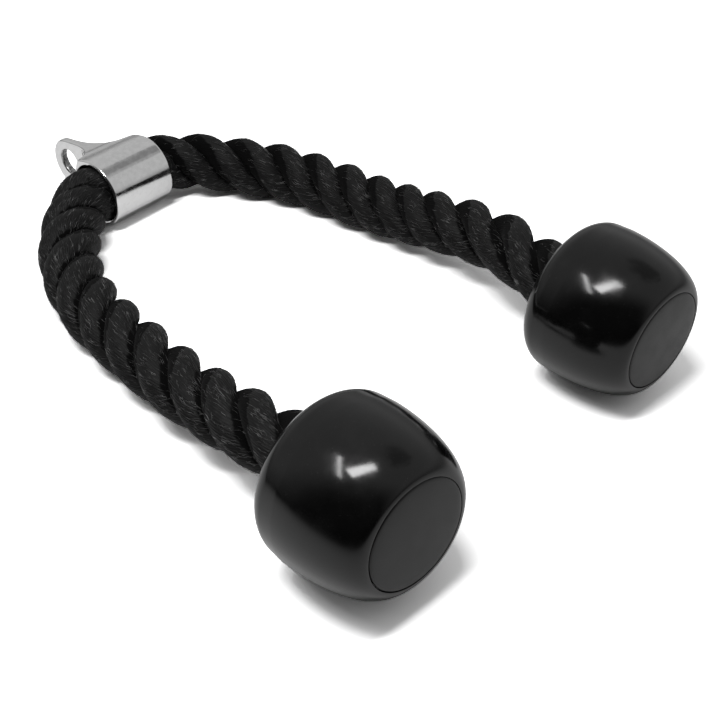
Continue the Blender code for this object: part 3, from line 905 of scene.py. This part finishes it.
def build_stopper(side):
    matrix = stopper_matrix(side)
    pieces = ((side + "_knob", knob_outline(), knob_look, "knob_rubber", 0.0),
              (side + "_end_cap", cap_outline(), cap_look, "cap_plastic", CAP_SHIFT))
    for name, outline, look, slot, shift in pieces:
        place = matrix @ Matrix.Translation((shift, 0, 0))
        piece = turned_mesh(name + "_skin", outline, place, look)
        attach(piece, side + "_stopper")
        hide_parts(name)


knob_look = knob_material()
cap_look = cap_material()
for side in ("left", "right"):
    build_stopper(side)


def dress_inner_steel():
    look = steel_material()
    for name, piece in frame["nodes"].items():
        if name.endswith("washer") or name.endswith("crimp_band"):
            piece.data.materials.clear()
            piece.data.materials.append(look)


dress_inner_steel()


# Floor and light

def direction(azimuth_deg, elevation_deg):
    azimuth = math.radians(azimuth_deg)
    elevation = math.radians(elevation_deg)
    level = math.cos(elevation)
    return (math.cos(azimuth) * level, math.sin(azimuth) * level, math.sin(elevation))


def build_floor():
    """A wide pale floor that shows as a white background to the camera; in direct mirrorings it carries
    painted shade away from the room's bright side.
    """
    half = FLOOR_HALF
    mesh = bpy.data.meshes.new("floor")
    corners = [(-half, -half, 0), (half, -half, 0), (half, half, 0), (-half, half, 0)]
    mesh.from_pydata(corners, [], [(0, 1, 2, 3)])
    look = Look("floor_white")
    path = look.node("ShaderNodeLightPath").outputs
    direct = look.math("LESS_THAN", path["Diffuse Depth"], 0.5)
    mirrored = look.math("MULTIPLY", look.mirrored_ray(path), direct)
    # Painted shade: the floor seen in mirrorings darkens away from the room's bright side
    deep = look.vector("DOT_PRODUCT", look.place(), direction(BRIGHT_SIDE_AZIMUTH_DEG, 0))
    mirrored_floor_shade = look.spread(deep, *FLOOR_SHADE_FADE, FLOOR_SHADED_SHARE, 1.0)
    mirror_colour = look.math("MULTIPLY", mirrored_floor_shade, FLOOR_COLOUR_MIRRORED)
    plain = look.mix(mirrored, FLOOR_COLOUR, mirror_colour)
    far = look.vector("LENGTH", look.place())
    seen_colour = look.spread(far, *FLOOR_FAR, FLOOR_COLOUR_SEEN, FLOOR_COLOUR_FAR)
    seen = look.mix(path["Is Camera Ray"], plain, seen_colour)
    paper = look.node("ShaderNodeBsdfDiffuse", {"Color": look.grey(seen)})
    look.put(look.tree.nodes["Material Output"], "Surface", paper.outputs[0])
    mesh.materials.append(look.material)
    link(bpy.data.objects.new("floor", mesh))


def light_room():
    """White to the camera; for light, a room that is bright behind the object and dark in front."""
    world = bpy.data.worlds.new("studio")
    world.use_nodes = True
    look = Nodes(world.node_tree)
    ray = look.node("ShaderNodeTexCoord").outputs["Generated"]
    facing = look.vector("DOT_PRODUCT", ray, direction(BRIGHT_SIDE_AZIMUTH_DEG, 0))
    room = look.spread(facing, *ROOM_EDGE, ROOM_DARK, ROOM_BRIGHT)
    height = look.node("ShaderNodeSeparateXYZ", {0: ray}).outputs[2]
    room = look.math("MULTIPLY", room, look.spread(height, *HORIZON_EDGE, HORIZON_SHARE, 1.0))
    aside = look.vector("DOT_PRODUCT", ray, direction(PATCH_AZIMUTH_DEG, PATCH_ELEVATION_DEG))
    blots = look.math("SUBTRACT", look.noise(ray, PATCH_NOISE_SCALE, 2.0), 0.5)
    ragged = look.math("MULTIPLY", blots, PATCH_RAGGED)
    outer, inner = (math.cos(math.radians(angle)) for angle in PATCH_EDGE_DEG)
    patch = look.spread(look.math("ADD", aside, ragged), outer, inner, 1.0, PATCH_SHARE)
    room = look.math("MULTIPLY", room, patch)
    path = look.node("ShaderNodeLightPath").outputs
    light_share = look.spread(look.mirrored_ray(path), 0.0, 1.0, ROOM_LIGHT_SHARE, 1.0, "LINEAR")
    room = look.math("MULTIPLY", room, light_share)
    level = look.mix(path["Is Camera Ray"], room, 1.0)
    look.put(look.tree.nodes["Background"], "Color", look.grey(level))
    bpy.context.scene.world = world


def add_soft_box(name, place, target, size, watts):
    data = bpy.data.lights.new(name, "AREA")
    data.shape = "RECTANGLE"
    data.size, data.size_y = size
    data.energy = watts
    box = link(bpy.data.objects.new(name, data))
    aim = Vector(target) - Vector(place)
    box.matrix_world = Matrix.Translation(place) @ aim.to_track_quat("-Z", "Y").to_matrix().to_4x4()


build_floor()
light_room()
for name, settings in SOFT_BOXES.items():
    add_soft_box(name, *settings)
bpy.context.scene.view_settings.view_transform = "Standard"
